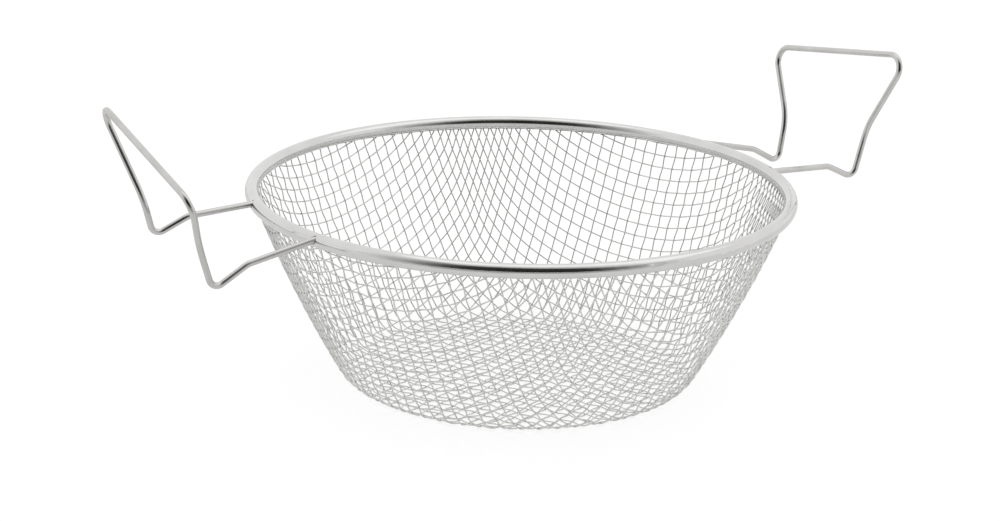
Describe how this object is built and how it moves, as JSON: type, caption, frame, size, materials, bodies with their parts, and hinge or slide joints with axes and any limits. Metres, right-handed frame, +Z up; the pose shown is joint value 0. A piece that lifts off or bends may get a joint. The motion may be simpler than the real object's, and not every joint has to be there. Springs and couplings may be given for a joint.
{
  "type": "frying basket",
  "caption": "Round wire mesh frying basket with a rolled tubular rim and two bent wire handles that hook over a pan's edge.",
  "frame": {"origin": "on the bowl's axis, at the underside of the flat base, where the basket stands", "axes": "+Z up along the bowl's axis, +X along the line of the two handles towards the right handle"},
  "size_m": [0.4137, 0.28, 0.1584],
  "materials": {
    "polished_steel": "bright polished, rolled from strip",
    "mesh_wire": "drawn wire, tinned grey",
    "handle_wire": "bright drawn wire"
  },
  "bodies": {
    "root": {"rim": "polished_steel", "mesh_bowl": "mesh_wire", "handle_left": "handle_wire", "handle_right": "handle_wire"}
  },
  "joints": []
}
